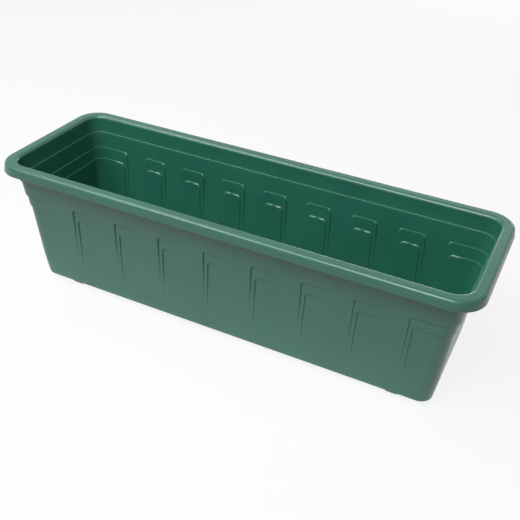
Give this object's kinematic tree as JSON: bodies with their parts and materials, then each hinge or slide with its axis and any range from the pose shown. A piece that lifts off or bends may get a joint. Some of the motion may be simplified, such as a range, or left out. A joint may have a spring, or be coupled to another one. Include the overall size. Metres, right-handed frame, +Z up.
{
  "type": "window box planter",
  "caption": "Long trough planter with a flat overhanging rim, sloping walls with stepped sunk panels, a drained floor and short feet.",
  "frame": {"origin": "on the ground under the middle of the trough, in the plane of the four soles", "axes": "+X along the length to the right as seen from the front, +Y to the back, +Z up"},
  "size_m": [0.61, 0.204, 0.18],
  "materials": {
    "green_plastic": "satin moulded polypropylene"
  },
  "bodies": {
    "root": {"planter_box": "green_plastic"}
  },
  "joints": []
}
